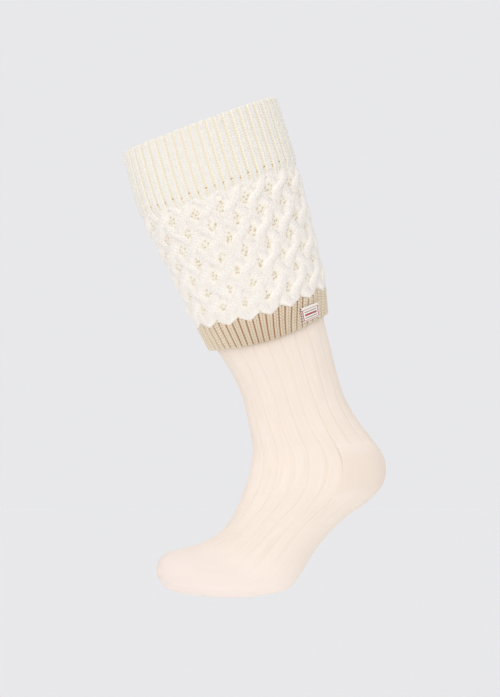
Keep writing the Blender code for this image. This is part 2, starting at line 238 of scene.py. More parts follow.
class Knit:
    """A knitted piece in the making: grids of points that end as one mesh.

    Each grid has its stitches (wales across, courses down) for the yarn's bump, and its
    recess, from 0 on a crest to 1 at the bottom of a groove or hole, for the painted shade in the
    yarn's grooves and holes.
    """

    def __init__(self):
        self.points = []
        self.faces = []
        self.stitches = []
        self.recess = []
        self.count = 0

    def add(self, points, wales, courses, recess, wraps=False, kept=None, inward=False):
        """Adds a grid. One that wraps has one more column of stitches than of points."""
        rows, columns = points.shape[:2]
        i, j = np.mgrid[0 : rows - 1, 0 : columns if wraps else columns - 1]
        if kept is not None:
            i, j = i[kept], j[kept]
        i, j = i.ravel(), j.ravel()
        corners = [(i, j), (i, j + 1), (i + 1, j + 1), (i + 1, j)]
        if inward:
            corners = corners[::-1]
        wales = np.broadcast_to(wales, (rows, columns + wraps))
        courses = np.broadcast_to(courses, (rows, columns + wraps))
        faces = np.stack([a * columns + b % columns for a, b in corners], axis=1)
        stitches = np.stack([[wales[a, b], courses[a, b]] for a, b in corners])
        self.faces.append(faces + self.count)
        self.stitches.append(stitches.transpose(2, 0, 1))
        self.points.append(points.reshape(-1, 3))
        self.recess.append(np.broadcast_to(recess, (rows, columns)).reshape(-1))
        self.count += rows * columns

    def piece(self, name, material, node):
        """Makes the finished piece, which rides on the sock and stands for its solid."""
        mesh = bpy.data.meshes.new(name)
        mesh.from_pydata(np.concatenate(self.points), [], np.concatenate(self.faces))
        stitches = mesh.uv_layers.new(name="stitches")
        stitch_places = np.concatenate(self.stitches).astype(np.float32)
        stitches.data.foreach_set("uv", stitch_places.ravel())
        recess = mesh.attributes.new("recess", "FLOAT", "POINT")
        recess.data.foreach_set("value", np.concatenate(self.recess).astype(np.float32))
        mesh.shade_smooth()
        mesh.materials.append(material)
        made = put_in_scene(name, mesh)
        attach(made, "root")
        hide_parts(node)


def linear(srgb):
    """A colour of 0 to 255 as the shader takes it."""
    parts = []
    for value in srgb:
        share = value / 255
        parts.append(share / 12.92 if value <= 10 else ((share + 0.055) / 1.055) ** 2.4)
    return (*parts, 1.0)


# Yarn is a little darker and lighter than its own colour, in soft clouds, and takes painted
# shade in its grooves: the groove's colour at groove_recess, and the hole's painted shadow below
# that.
cloud_dark = 0.985
cloud_light = 1.012
yarn_gloss = 0.25
sheen_roughness = 0.6
groove_recess = 0.5
hole_rate = 2.8
stitch_lean = 0.8
stitch_plumpness = 0.6


class Yarn:
    """A material in the making, with short ways to its nodes."""

    def __init__(self, name, roughness, sheen):
        self.material = bpy.data.materials.new(name)
        self.material.use_nodes = True
        self.tree = self.material.node_tree
        self.shader = self.tree.nodes["Principled BSDF"]
        self.shader.inputs["Roughness"].default_value = roughness
        self.shader.inputs["Specular IOR Level"].default_value = yarn_gloss
        self.shader.inputs["Sheen Weight"].default_value = sheen
        self.shader.inputs["Sheen Roughness"].default_value = sheen_roughness

    def give(self, socket, value):
        """Sets a socket to a number or colour, or links it to another socket."""
        if isinstance(value, bpy.types.NodeSocket):
            self.tree.links.new(value, socket)
        else:
            socket.default_value = value

    def node(self, kind, inputs=None, **settings):
        """A node with its settings, whose inputs are numbers, colours or other sockets."""
        node = self.tree.nodes.new(kind)
        for key, value in settings.items():
            setattr(node, key, value)
        for key, value in (inputs or {}).items():
            self.give(node.inputs[key], value)
        return node

    def reckon(self, operation, a, b=0.0, clamp=False):
        """One step of arithmetic."""
        settings = {"operation": operation, "use_clamp": clamp}
        return self.node("ShaderNodeMath", {0: a, 1: b}, **settings).outputs[0]

    def noise(self, scale, detail=2.0, vector=None):
        """Even noise between 0 and 1, on the part's own coordinates unless told otherwise."""
        if vector is None:
            vector = self.node("ShaderNodeTexCoord").outputs["Object"]
        inputs = {"Vector": vector, "Scale": scale, "Detail": detail}
        return self.node("ShaderNodeTexNoise", inputs).outputs[0]

    def mix(self, share, first, second):
        """A colour between two."""
        made = self.node("ShaderNodeMix", data_type="RGBA")
        for key, value in (("Factor", share), ("A", first), ("B", second)):
            self.give(next(s for s in made.inputs if s.name == key and s.enabled), value)
        return next(s for s in made.outputs if s.enabled)

    def clouded(self, crest, scale):
        """The yarn's own colour, in soft clouds."""
        dark = linear([value * cloud_dark for value in crest])
        light = linear([min(255, value * cloud_light) for value in crest])
        return self.mix(self.noise(scale, 3.0), dark, light)

    def recess(self):
        """How deep a point lies in a groove or hole, which sets its painted shade."""
        return self.node("ShaderNodeAttribute", attribute_name="recess").outputs["Fac"]

    def creased(self, shade, stitches, groove, share):
        """The colour, with a share of the groove's colour between the stitches as painted shade.
        """
        between = self.reckon("MULTIPLY", self.reckon("SUBTRACT", 1.0, stitches), share)
        return self.mix(between, shade, linear(groove))

    def sunk(self, shade, groove, hole):
        """The colour on a crest, and painted shade below it: the groove's colour halfway down and
        the hole's painted shadow at the bottom.
        """
        recess = self.recess()
        sunk = self.reckon("MULTIPLY", recess, 1 / groove_recess, clamp=True)
        shade = self.mix(sunk, shade, linear(groove))
        below = self.reckon("SUBTRACT", recess, groove_recess)
        return self.mix(self.reckon("MULTIPLY", below, hole_rate, clamp=True), shade, linear(hole))

    def bump(self, height, depth, under=None):
        """Raises the surface by a height between 0 and 1, times a depth."""
        inputs = {"Height": height, "Distance": depth, "Strength": 1.0}
        if under is not None:
            inputs["Normal"] = under
        return self.node("ShaderNodeBump", inputs).outputs[0]

    def finished(self, colour, relief):
        """The material, with its colour and bump in place."""
        self.give(self.shader.inputs["Base Color"], colour)
        self.give(self.shader.inputs["Normal"], relief)
        return self.material

    def stitch_coordinates(self):
        """Wales and courses, from the mesh."""
        stitches = self.node("ShaderNodeUVMap", uv_map="stitches").outputs[0]
        parts = self.node("ShaderNodeSeparateXYZ", {0: stitches})
        return parts.outputs[0], parts.outputs[1]

    def humps(self, along):
        """Even humps from 0 to 1, each pi long."""
        return self.reckon("ABSOLUTE", self.reckon("SINE", along))

    def off_middle(self, along, middle=0.5):
        """How far a place lies from the middle, to either side."""
        return self.reckon("ABSOLUTE", self.reckon("SUBTRACT", along, middle))

    def stitches(self):
        """The height of plain knit stitches: two slanting plump legs in each wale."""
        wale, course = self.stitch_coordinates()
        across = self.off_middle(self.reckon("FRACT", wale))
        leant = self.reckon("ADD", course, self.reckon("MULTIPLY", across, 2 * stitch_lean))
        plump = self.humps(self.reckon("MULTIPLY", leant, pi))
        legs = self.humps(self.reckon("MULTIPLY", wale, 2 * pi))
        plump = self.reckon("POWER", plump, stitch_plumpness)
        return self.reckon("MULTIPLY", plump, self.reckon("POWER", legs, stitch_plumpness))


leg_ribs = 20
leg_groove = 0.0004
groove_share = 0.045
groove_painted_shade = 0.3
inside_painted_shade = 0.25
rib_crown = 0.00018
rib_wander = 0.0005
wander_rate = 70
wander_step = 9
wales_in_rib = 14
fine_course = 0.0011
hook_depth = 0.014
columns_in_rib = 16
column_ease = 0.09
leg_row_step = 0.0019
hidden_row_step = 0.012
wall_columns = 96
inner_row_step = 0.004
fine_clouds = 45.0
fine_crease_shade = 0.2
fine_stitch_depth = 0.00012
fine_fibres = 1800.0
fine_fibre_depth = 0.00003
streak_scale = 0.75
streak_stretch = 0.03
streak_least = 0.35
CREAM_LEG = (247, 234, 222)
# The leg's groove colour is painted shade in the grooves and between the stitches, and also the
# colour of the streaks along the wales.
CREAM_LEG_SHADE_AND_STREAK = (236, 217, 197)
CREAM_HEEL = (240, 225, 212)
CREAM_TOE_PAINTED_LIGHT = (250, 236, 227)

# The three parts of the cuff hang one below the other over the top of the leg.
rib_length = 0.068
cable_length = 0.126
band_length = 0.0255
cuff_length = rib_length + cable_length + band_length
hidden_margin = 0.012

# The streaks fade out over smooth_courses before the toe, as the yarn turns lighter there with
# painted light, and the heel's tone comes in over soft_courses at each of its ends.
smooth_courses = 60
soft_courses = 14
toe_course = FOOT_AT["toe_seam"] / fine_course


def fine_knit(name, crest, streaky, ends=None):
    """The fine plain knit of leg and foot, streaked along its wales and drawn smooth at the toe,
    with painted shade between its stitches and in its grooves, and painted light that makes the
    toe lighter.

    Between ends, two distances down the sock, its tone comes in softly from the leg's.
    """
    yarn = Yarn(name, roughness=0.9, sheen=0.15)
    stitches = yarn.stitches()
    wale, course = yarn.stitch_coordinates()
    faded = yarn.reckon("MULTIPLY", course, 1 / smooth_courses)
    near_toe = yarn.reckon("SUBTRACT", faded, toe_course / smooth_courses - 1, clamp=True)
    # Painted light: the yarn turns lighter towards the toe.
    shade = yarn.mix(near_toe, yarn.clouded(crest, fine_clouds), linear(CREAM_TOE_PAINTED_LIGHT))
    if ends:
        past_top = yarn.reckon("SUBTRACT", course, ends[0] / fine_course)
        above_end = yarn.reckon("SUBTRACT", ends[1] / fine_course, course)
        nearest = yarn.reckon("MINIMUM", past_top, above_end)
        within = yarn.reckon("MULTIPLY", nearest, 1 / soft_courses, clamp=True)
        shade = yarn.mix(within, linear(CREAM_LEG), shade)
    # Painted shade between the stitches.
    shade = yarn.creased(shade, stitches, CREAM_LEG_SHADE_AND_STREAK, fine_crease_shade)
    stretched = yarn.reckon("MULTIPLY", course, streak_stretch)
    along = yarn.node("ShaderNodeCombineXYZ", {0: wale, 1: stretched}).outputs[0]
    streaks = yarn.reckon("SUBTRACT", yarn.noise(streak_scale, 2.0, along), streak_least)
    streaks = yarn.reckon("MULTIPLY", streaks, streaky, clamp=True)
    streaks = yarn.reckon("MULTIPLY", streaks, yarn.reckon("SUBTRACT", 1.0, near_toe))
    shade = yarn.mix(streaks, shade, linear(CREAM_LEG_SHADE_AND_STREAK))
    # Painted shade in grooves and on the inner face, as deep as the recess says.
    shade = yarn.mix(yarn.recess(), shade, linear(CREAM_LEG_SHADE_AND_STREAK))
    fibres = yarn.bump(yarn.noise(fine_fibres, 2.0), fine_fibre_depth)
    return yarn.finished(shade, yarn.bump(stitches, fine_stitch_depth, fibres))


fine_cream = fine_knit("fine_cream_knit", CREAM_LEG, streaky=1.0)


def even_rows(start, end, step):
    """Even distances from start to end, about a step apart."""
    return np.linspace(start, end, max(2, int(round((end - start) / step)) + 1))


def fine_columns():
    """For each column its turn, how much of it is in a groove, and its place across the rib."""
    spread = np.linspace(0, 1, columns_in_rib, endpoint=False)
    eased = spread - column_ease * np.sin(2 * pi * spread)
    in_groove = np.exp(-((np.minimum(eased, 1 - eased) / groove_share) ** 2))
    turns = (np.arange(leg_ribs)[:, None] + 0.5 + eased[None, :]) / leg_ribs
    return turns.ravel(), np.tile(in_groove, leg_ribs), np.tile(eased, leg_ribs)


FINE_TURNS, FINE_GROOVE, FINE_ACROSS = fine_columns()


def fine_face(knit, distances, grooved, kept=None):
    """The outer face of fine knit, with grooves as deep and as darkened with painted shade as
    grooved says, from 0 to 1.
    """
    distances = distances[:, None]
    turns = FINE_TURNS[None, :]
    waves = np.sin(distances * wander_rate + wander_step * np.floor(turns * leg_ribs))
    wander = rib_wander * waves / ring_length(distances)
    crown = rib_crown * (np.sin(pi * FINE_ACROSS) ** 0.5 - 1)
    height = grooved * (crown - leg_groove * FINE_GROOVE)[None, :]
    points = place(distances, turns + wander * grooved, height)
    wales = np.append(FINE_TURNS, FINE_TURNS[0] + 1) * leg_ribs * wales_in_rib
    # Painted shade in the rib grooves.
    tone = grooved * FINE_GROOVE[None, :] * groove_painted_shade
    knit.add(points, wales[None, :], distances / fine_course, tone, wraps=True, kept=kept)


def inner_face(knit, start, end):
    """The inner face of the fabric, which shows through the opening, darkened with painted shade.
    """
    distances = even_rows(start, end, inner_row_step)[:, None]
    turns = np.arange(wall_columns)[None, :] / wall_columns
    wales = np.arange(wall_columns + 1)[None, :] * leg_ribs * wales_in_rib / wall_columns
    points = place(distances, turns, -leg_wall)
    courses = distances / fine_course
    knit.add(points, wales, courses, inside_painted_shade, wraps=True, inward=True)


leg = Knit()
shown_from = cuff_length - hidden_margin
hidden = even_rows(hook_depth, shown_from, hidden_row_step)[:-1]
shown = even_rows(shown_from, FOOT_AT["ankle"], leg_row_step)
fine_face(leg, np.concatenate([hidden, shown]), 1.0)
inner_face(leg, hook_depth, FOOT_AT["ankle"])
leg.piece("leg_fine_knit", fine_cream, "leg")


# Foot: the same fine tube from the ankle to the toe, ribbed over the instep and plain on the
# sole, with a notch at the back that the heel fills. The ribs fade out towards the toe.

heel_ribs = 7
foot_row_step = 0.0019
notch_margin = 0.001
edge_margin = 0.2 / leg_ribs


def foot_rows(first, last):
    """Distances between two sections of the foot."""
    return even_rows(FOOT_AT[first], FOOT_AT[last], foot_row_step)


def on_instep(turns, margin):
    """Whether turns lie on the instep, between the two edges of the heel."""
    edge = heel_ribs / 2 / leg_ribs
    return (turns % 1.0 >= edge - margin) & (turns % 1.0 <= 1 - edge + margin)


foot = Knit()
beside_heel = foot_rows("ankle", "gore")
past_heel = foot_rows("gore", "toe_seam")
foot_distances = np.concatenate([beside_heel[:-1], past_heel])
fade_places = [FOOT_AT["gore"], FOOT_AT["ball"], FOOT_AT["toe_seam"]]
fade = np.interp(foot_distances, fade_places, [1, 0.5, 0])[:, None]
over_notch = on_instep(FINE_TURNS, notch_margin)
in_foot = np.ones((len(foot_distances) - 1, len(FINE_TURNS)), bool)
in_foot[: len(beside_heel) - 1] = over_notch[None, :]
in_foot[: len(beside_heel) - 1, FINE_TURNS == FINE_TURNS[over_notch].max()] = False
fine_face(foot, foot_distances, fade * on_instep(FINE_TURNS, edge_margin)[None, :], in_foot)
inner_face(foot, FOOT_AT["ankle"], FOOT_AT["toe_seam"])
foot.piece("foot_fine_knit", fine_cream, "foot")


# Heel: a plain-knit cup of the same yarn, turned in the back of the ankle. It meets the foot
# underneath and along its two sides, where it tucks under the foot's edge and the picked-up
# stitches are drawn as short dashes of painted shade.

heel_overlap = 0.0015
heel_columns = 91
dash_painted_shade = 0.5
heel_edge = heel_ribs / 2 / leg_ribs + heel_overlap
heel_ends = (FOOT_AT["ankle"], FOOT_AT["gore"])
heel_cream = fine_knit("fine_cream_heel_knit", CREAM_HEEL, streaky=0.3, ends=heel_ends)

heel = Knit()
heel_turns = np.linspace(-heel_edge, heel_edge, heel_columns)[None, :]
tucked = np.clip((np.abs(heel_turns) - heel_edge + 2 * heel_overlap) / heel_overlap, 0, 1)
heel_points = place(beside_heel[:, None], heel_turns, -leg_groove * tucked)
heel_wales = heel_turns * leg_ribs * wales_in_rib
# Painted shade on every other course of the tucked edge, as dashes.
dashes = dash_painted_shade * tucked * (np.arange(len(beside_heel)) % 2)[:, None]
heel.add(heel_points, heel_wales, beside_heel[:, None] / fine_course, dashes)
heel.piece("heel_fine_knit", heel_cream, "heel")


# Toe: the end of the tube, plain knit in the same yarn and narrowed round by round to a
# rounded point over the toes, where it is closed. It is knitted on to the foot.

toe_columns = 240
toe_row_step = 0.0018

toe = Knit()
toe_distances = even_rows(FOOT_AT["toe_seam"], toe_tip_at - section_step, toe_row_step)[:, None]
toe_turns = np.arange(toe_columns)[None, :] / toe_columns
toe_wales = np.arange(toe_columns + 1)[None, :] / toe_columns * leg_ribs * wales_in_rib
toe_points = place(toe_distances, toe_turns, 0.0)
toe.add(toe_points, toe_wales, toe_distances / fine_course, 0.0, wraps=True)
inner_face(toe, FOOT_AT["toe_seam"], FOOT_AT["toe_end"])
toe.piece("toe_fine_knit", fine_cream, "toe")


# Ribbed top of the cuff: thick soft wool in ribs of two wales, turned over at the top so that
# it hooks over the edge of the leg.

rib_wall = 0.0045
cuff_ease = 0.0012
cuff_flare = 0.0025
cuff_bow = 0.009
cuff_ribs = 48
rib_groove_share = 0.32
rib_groove = 0.0013
rib_middle = 0.0008
rib_middle_shade = 0.12
rib_crease_shade = 0.16
rib_course = 0.0026
rib_end_drop = 0.0028
rib_end_run = 0.003
rib_overrun = 0.010
rib_shift = -0.004
fold_room = 0.0003
inside_share = 0.4
rows_in_course = 3
stitch_crease = 0.0008
crease_shade_gain = 1.35
course_shade_gain = 0.85
chunky_clouds = 120.0
chunky_crease_shade = 0.08
chunky_stitch_depth = 0.00015
chunky_plies = 500.0
chunky_ply_depth = 0.00012
chunky_fibres = 1500.0
chunky_fibre_depth = 0.00007
CREAM_RIB = (255, 250, 244)
# Painted shade for the grooves and between the stitches, and painted shadow for the holes.
CREAM_GROOVE_SHADE = (235, 225, 200)
CREAM_HOLE_SHADOW = (194, 136, 70)

# A hole at the end of each groove, where the ribs open into the lattice, dented and darkened with
# painted shadow.
hole_above = 0.0045
hole_stagger = 0.0012
hole_waves = 21
hole_size = 0.0011
hole_depth = 0.0008
hole_least_recess = 0.4

# How far the cuff stands off the leg, as shares of cuff_flare, down the length of the cuff.
CuffRow = namedtuple("CuffRow", "down front back")
CUFF_ROWS = [
    CuffRow(0.00, 0.0, 0.0),
    CuffRow(0.31, 0.0, 0.0),
    CuffRow(0.87, 0.3, 0.0),
    CuffRow(1.00, 1.0, 0.1),
]

# The columns of points over one rib, as shares of its pitch from the middle of a groove. Edge is
# 0 in the middle of a stitch and 1 at its side, drop is how far the point lies below a crest, and
# recess is how much painted shade the point takes.
RibColumn = namedtuple("RibColumn", "share edge drop recess")


def rib_columns(share, groove, middle, middle_shade):
    """A groove, then two wales with two crests each and a lesser groove between them."""
    half = share / 2
    wale = (1 - share) / 2
    rising = [
        RibColumn(half * 0.6, 1.0, groove * 0.8, 0.42),
        RibColumn(half, 1.0, groove * 0.5, 0.24),
        RibColumn(half + wale * 0.25, 0.5, 0.0, 0.0),
        RibColumn(half + wale * 0.5, 0.0, 0.0004, 0.03),
        RibColumn(half + wale * 0.75, 0.5, 0.0, 0.0),
    ]
    falling = [column._replace(share=1 - column.share) for column in rising[::-1]]
    bottom = RibColumn(0.0, 1.0, groove, groove_recess)
    between = RibColumn(0.5, 1.0, middle, middle_shade)
    return [bottom, *rising, between, *falling]


def chunky_knit(name, crest):
    """Thick soft wool, with painted shade in its grooves and a brown painted shadow in its holes.
    """
    yarn = Yarn(name, roughness=0.92, sheen=0.25)
    stitches = yarn.stitches()
    shade = yarn.clouded(crest, chunky_clouds)
    shade = yarn.creased(shade, stitches, CREAM_GROOVE_SHADE, chunky_crease_shade)
    fibres = yarn.bump(yarn.noise(chunky_fibres, 3.0), chunky_fibre_depth)
    plies = yarn.bump(yarn.noise(chunky_plies, 1.0), chunky_ply_depth, fibres)
    relief = yarn.bump(stitches, chunky_stitch_depth, plies)
    return yarn.finished(yarn.sunk(shade, CREAM_GROOVE_SHADE, CREAM_HOLE_SHADOW), relief)


def cuff_place(distance, turn, height):
    """Points on the cuff, whose rows bow down at the sides and stand off at the hem."""
    distance, turn, height = np.broadcast_arrays(distance, turn, height)
    share = distance / cuff_length
    downs = [row.down for row in CUFF_ROWS]
    front = cuff_flare * np.interp(share, downs, [row.front for row in CUFF_ROWS])
    back = cuff_flare * np.interp(share, downs, [row.back for row in CUFF_ROWS])
    bow = cuff_bow * np.maximum(0.0, (distance - hook_depth) / (cuff_length - hook_depth))
    u = on_ring(distance, turn)[0]
    return place(distance + bow * (1 - u**2), turn, height, front, back)


def course_rows(courses):
    """Row numbers in courses, and which of the rows lie in the crease between two courses."""
    numbers = np.arange(rows_in_course * courses + 1)
    return numbers / rows_in_course, (numbers % rows_in_course == 0)[:, None]


def closed(grid):
    """A grid with its first column once more at the end."""
    return np.concatenate([grid, grid[:, :1]], axis=1)


def rib_grid(ribs, columns, length, course, crease_shade):
    """Rows and columns of ribbed knit: way down, turn, drop, recess and wales."""
    turns = np.array([(k + 0.5 + c.share) / ribs for k in range(ribs) for c in columns])
    edge = np.tile([column.edge for column in columns], ribs)
    drop = np.tile([column.drop for column in columns], ribs)
    recess = np.tile([column.recess for column in columns], ribs)
    courses = int(round(length / course))
    rows, between = course_rows(courses)
    ends = np.clip(np.minimum(rows, courses - rows) / 1.5, 0, 1)[:, None]
    way = (rows[:, None] - stitch_lean * edge[None, :] * ends) * length / courses
    # The creases between courses sink, and take painted shade, more in the crease rows.
    crease = between * np.clip(1 - 2 * recess, 0, 1)[None, :]
    drops = drop[None, :] + stitch_crease * crease
    recesses = recess[None, :] * np.where(between, crease_shade_gain, course_shade_gain)
    wales = np.append(turns, turns[0] + 1) * ribs * 2
    return np.maximum(way, 0.0), turns, drops, np.maximum(recesses, crease_shade * crease), wales


def fold_place(way, turns, drop):
    """Points on a way that starts inside the fold, climbs over it and runs down the outside."""
    outer = cuff_ease + rib_wall + fold_room
    middle = (outer - leg_wall) / 2
    radius = (outer + leg_wall) / 2
    inside = hook_depth - radius
    angle = np.clip(pi - (way - inside) / radius, 0, pi)
    down = np.where(way < inside, hook_depth - way, radius * (1 - np.sin(angle)))
    down = np.where(way > inside + pi * radius, radius + way - inside - pi * radius, down)
    share = drop * np.where(way < inside, inside_share, 1.0)
    height = middle + (radius - share) * np.cos(angle)
    down = down + share * np.sin(angle)
    past = (down - rib_length + rib_end_run) / (rib_overrun + rib_end_run)
    return cuff_place(down, turns, height - rib_end_drop * np.clip(past, 0, 1))


cuff_rib = Knit()
fold_radius = (cuff_ease + rib_wall + fold_room + leg_wall) / 2
fold_way = hook_depth - fold_radius + pi * fold_radius + rib_length + rib_overrun - fold_radius
top_columns = rib_columns(rib_groove_share, rib_groove, rib_middle, rib_middle_shade)
top_grid = rib_grid(cuff_ribs, top_columns, fold_way, rib_course, rib_crease_shade)
way, rib_turns, rib_drops, rib_recess, rib_wales = top_grid
hole_way = fold_way - rib_overrun - hole_above
hole_way = hole_way + hole_stagger * np.sin(rib_turns * 2 * pi * hole_waves)
hole = np.exp(-(((way - hole_way) / hole_size) ** 2)) * (rib_recess >= hole_least_recess)
rib_points = fold_place(way, rib_turns[None, :] + rib_shift, rib_drops + hole_depth * hole)
rib_courses = closed(way) / rib_course
# The holes take painted shadow.
cuff_rib.add(rib_points, rib_wales[None, :], rib_courses, np.maximum(rib_recess, hole), wraps=True)
cream_rib = chunky_knit("chunky_cream_rib", CREAM_RIB)
cuff_rib.piece("cuff_rib_knit", cream_rib, "cuff_rib")


# Cable lattice of the cuff: thick strands of three wales that cross over and under each other,
# with a ground of open purl stitches in the diamonds between them. It is knitted on below the
# ribbed top in the same soft wool.

cable_periods = 16
cable_rows = 8
scallop = 0.0025
over_share = 0.262
under_share = 0.225
over_rise = 0.0031
under_rise = 0.0023
wale_drift = 0.28
no_drift_at = 0.156
ground_height = cuff_ease + 0.0030
CREAM_CABLE = (255, 248, 243)
row_pitch = cable_length / cable_rows

# A strand starts above the first row of the lattice and ends below the last, by parts of a row.
strand_above = 0.25
strand_below = 0.45

# It grows wider towards the hem, swells where it passes over another, and is narrow at first.
strand_growth = 0.18
strand_swell = 0.08
strand_first = 0.45
strand_roundness = 0.6
wales_in_strand = 3
strand_length = cable_length * 1.24
strand_course = 0.0030
strand_columns = 13
strand_weave = 0.0009
strand_wander = 0.035
strand_root = 0.0020
strand_sunk = 0.0008
strand_valley = 0.0006
strand_crease = 0.0009
strand_start_run = 0.013
strand_start_above = 0.004
strand_end_run = 0.004
strand_end_over = 0.0005
# Painted shade in a strand's creases, along its sides and in its valleys.
strand_crease_shade = 0.15
strand_side_shade = 0.26
side_from = 0.9
strand_valley_shade = 0.08


def drift_at(down):
    """How far around the wales have drifted at a distance down, as a turn."""
    return wale_drift * (down - no_drift_at)


def scallop_at(turn):
    """How far the lower edge of the lattice rises, in an even zigzag with a lobe each period."""
    phase = ((turn - drift_at(rib_length + cable_length)) * cable_periods) % 1.0
    return scallop * (4 * np.abs(phase - 0.5) - 1)


def strand(knit, start, lean):
    """One strand: lean is +1 where it runs to the toe side on its way down, -1 the other way."""
    courses = int(round(strand_length / strand_course))
    numbers, crease = course_rows(courses)
    rows = numbers / courses * (cable_rows + strand_below) - strand_above
    side = np.linspace(-1, 1, strand_columns)
    edge = np.tile([1.0, 0.5, 0.0, 0.5], 4)[:strand_columns]
    valley = np.tile([0.5, 0.0, 0.8, 0.0], 4)[:strand_columns]
    phase = start + 0.5 + lean * (rows / 2 + strand_wander * np.sin(2 * pi * rows))
    down = rib_length + rows * row_pitch
    turn = phase / cable_periods + drift_at(down)
    around = ring_length(down)
    across = np.gradient(turn) * around
    along = np.gradient(down)
    size = np.hypot(across, along)
    steep = (along / size)[:, None]
    level = lean * (np.abs(across) / size)[:, None]

    # A strand is widest and highest where it passes over another.
    share, rise = (over_share, over_rise) if lean > 0 else (under_share, under_rise)
    wave = -lean * np.cos(pi * rows)
    half = share * (0.95 + strand_growth * rows / cable_rows + strand_swell * wave)
    half = half * around / cable_periods
    half = half * np.clip(0.6 + 0.5 * rows, strand_first, 1) * along / size
    slip = -stitch_lean * edge[None, :] * strand_course
    offset = half[:, None] * side[None, :]
    turns = turn[:, None] + (offset * steep + slip * level) / around[:, None]
    downs = down[:, None] - offset * level + slip * steep
    crown = (np.clip(1 - side**2, 0, 1) ** strand_roundness)[None, :]
    relief = strand_valley * valley[None, :] + strand_crease * crease * (np.abs(side) < 1)[None, :]
    height = ground_height - strand_sunk + (rise + strand_weave * wave[:, None]) * crown - relief

    # It sinks into the ground at its start and at the scalloped seam.
    seam = rib_length + cable_length - scallop_at(turns)
    ends = np.sqrt(np.clip((seam - downs) / strand_end_run, 0, 1))
    starts = np.clip((downs - rib_length + strand_start_above) / strand_start_run, 0, 1)
    root = cuff_ease + strand_root
    height = root + (height - cuff_ease - strand_root) * ends * starts
    downs = np.minimum(downs, seam + strand_end_over)
    stitches_down = rows[:, None] * courses / (cable_rows + strand_below)
    stitches_down = stitches_down - stitch_lean * edge[None, :]
    wales = (side[None, :] + 1) * wales_in_strand / 2
    # Painted shade in the creases between courses, along the sides where the strand meets the
    # ground, and in the valleys between its wales.
    recess = strand_crease_shade * crease + strand_side_shade * (np.abs(side) > side_from)[None, :]
    recess = recess + strand_valley_shade * valley[None, :]
    knit.add(cuff_place(downs, turns, height), wales, stitches_down, recess)


strands = Knit()
for n in range(cable_periods):
    strand(strands, n, 1)
    strand(strands, n, -1)

cream_cable = chunky_knit("chunky_cream_cable", CREAM_CABLE)
strands.piece("cuff_cable_strands", cream_cable, "cuff_cable")

# A patch of open purl stitches in each diamond, and a plain ground under all of them, both
# darkened with painted shade, and the eyelets with painted shadow.
eyelet_depth = 0.0022
eyelet_rim = 0.36
eyelet_least = 0.68
patch_columns = 17
patch_rows = 23
patch_half_width = 0.36
patch_half_height = 0.0105
patch_above = 0.001
patch_shade = 0.18
wide_rows = 5
ground_rows = 33
ground_columns = 128
ground_course = 0.0027
ground_above = 0.002
ground_lift = 0.0012
ground_painted_shade = 0.5
lining_painted_shade = 0.3
dice = np.random.default_rng(5)

# Eyelets of one diamond, in grid steps from its middle.
Eyelet = namedtuple("Eyelet", "across down")
EYELETS_WIDE = [
    Eyelet(0, -5),
    Eyelet(-2, -2),
    Eyelet(2, -2),
    Eyelet(-3, 1),
    Eyelet(0, 1),
    Eyelet(3, 1),
    Eyelet(-1, 4),
    Eyelet(2, 4),
]
EYELETS_CLOSE = [
    Eyelet(0, -4),
    Eyelet(-2, -1),
    Eyelet(1, -1),
    Eyelet(-1, 2),
    Eyelet(2, 2),
]


def diamond_patch(knit, row, phase):
    """Open purl stitches between the strands at one place of the lattice, with eyelets sunk as
    pits that take painted shadow.
    """
    middle = rib_length + row * row_pitch
    column = np.arange(patch_columns) - patch_columns // 2
    line = np.arange(patch_rows) - patch_rows // 2
    downs = middle + line[:, None] / (patch_rows // 2) * patch_half_height + 0 * column[None, :]
    turns = phase + column[None, :] / (patch_columns // 2) * patch_half_width
    turns = turns / cable_periods + drift_at(downs)
    pits = np.zeros(turns.shape)
    for eyelet in EYELETS_WIDE if row < wide_rows else EYELETS_CLOSE:
        i = eyelet.down + patch_rows // 2 + dice.integers(0, 2)
        j = eyelet.across + patch_columns // 2 + dice.choice([-1, 0, 0, 1])
        depth = dice.uniform(eyelet_least, 1.0)
        around = pits[i - 1 : i + 2, j - 1 : j + 2]
        around[:] = np.maximum(around, eyelet_rim * depth)
        pits[i, j] = depth
    seam = rib_length + cable_length - scallop_at(turns)
    downs = np.clip(downs, rib_length - patch_above, seam)
    points = cuff_place(downs, turns, ground_height - eyelet_depth * pits)
    # The pits and the rest of the patch take painted shade.
    knit.add(points, column[None, :] / 2, line[:, None] / 2, np.maximum(pits, patch_shade))


ground = Knit()
for row in range(cable_rows + 1):
    for n in range(cable_periods):
        diamond_patch(ground, row, n + row / 2)
ground_top = rib_length - ground_above
ground_downs = np.linspace(ground_top, rib_length + cable_length, ground_rows)[:, None]
ground_turns = np.arange(ground_columns)[None, :] / ground_columns
lift = np.clip((ground_downs - rib_length - cable_length / 2) / (cable_length / 2), 0, 1)
ground_downs = ground_downs - lift * scallop_at(ground_turns)
ground_wales = np.arange(ground_columns + 1)[None, :]
ground_courses = closed(ground_downs) / ground_course
outside = cuff_place(ground_downs, ground_turns, cuff_ease + ground_lift)
# The ground under the strands and its inside take painted shade.
ground.add(outside, ground_wales, ground_courses, ground_painted_shade, wraps=True)
inside = cuff_place(ground_downs, ground_turns, cuff_ease)
ground.add(inside, ground_wales, ground_courses, lining_painted_shade, wraps=True, inward=True)
ground.piece("cuff_cable_ground", cream_cable, "cuff_cable")


# Tan band: the hem of the cuff in marled tan wool, ribbed as the top is, with a scalloped seam
# to the lattice and a rounded bottom edge.

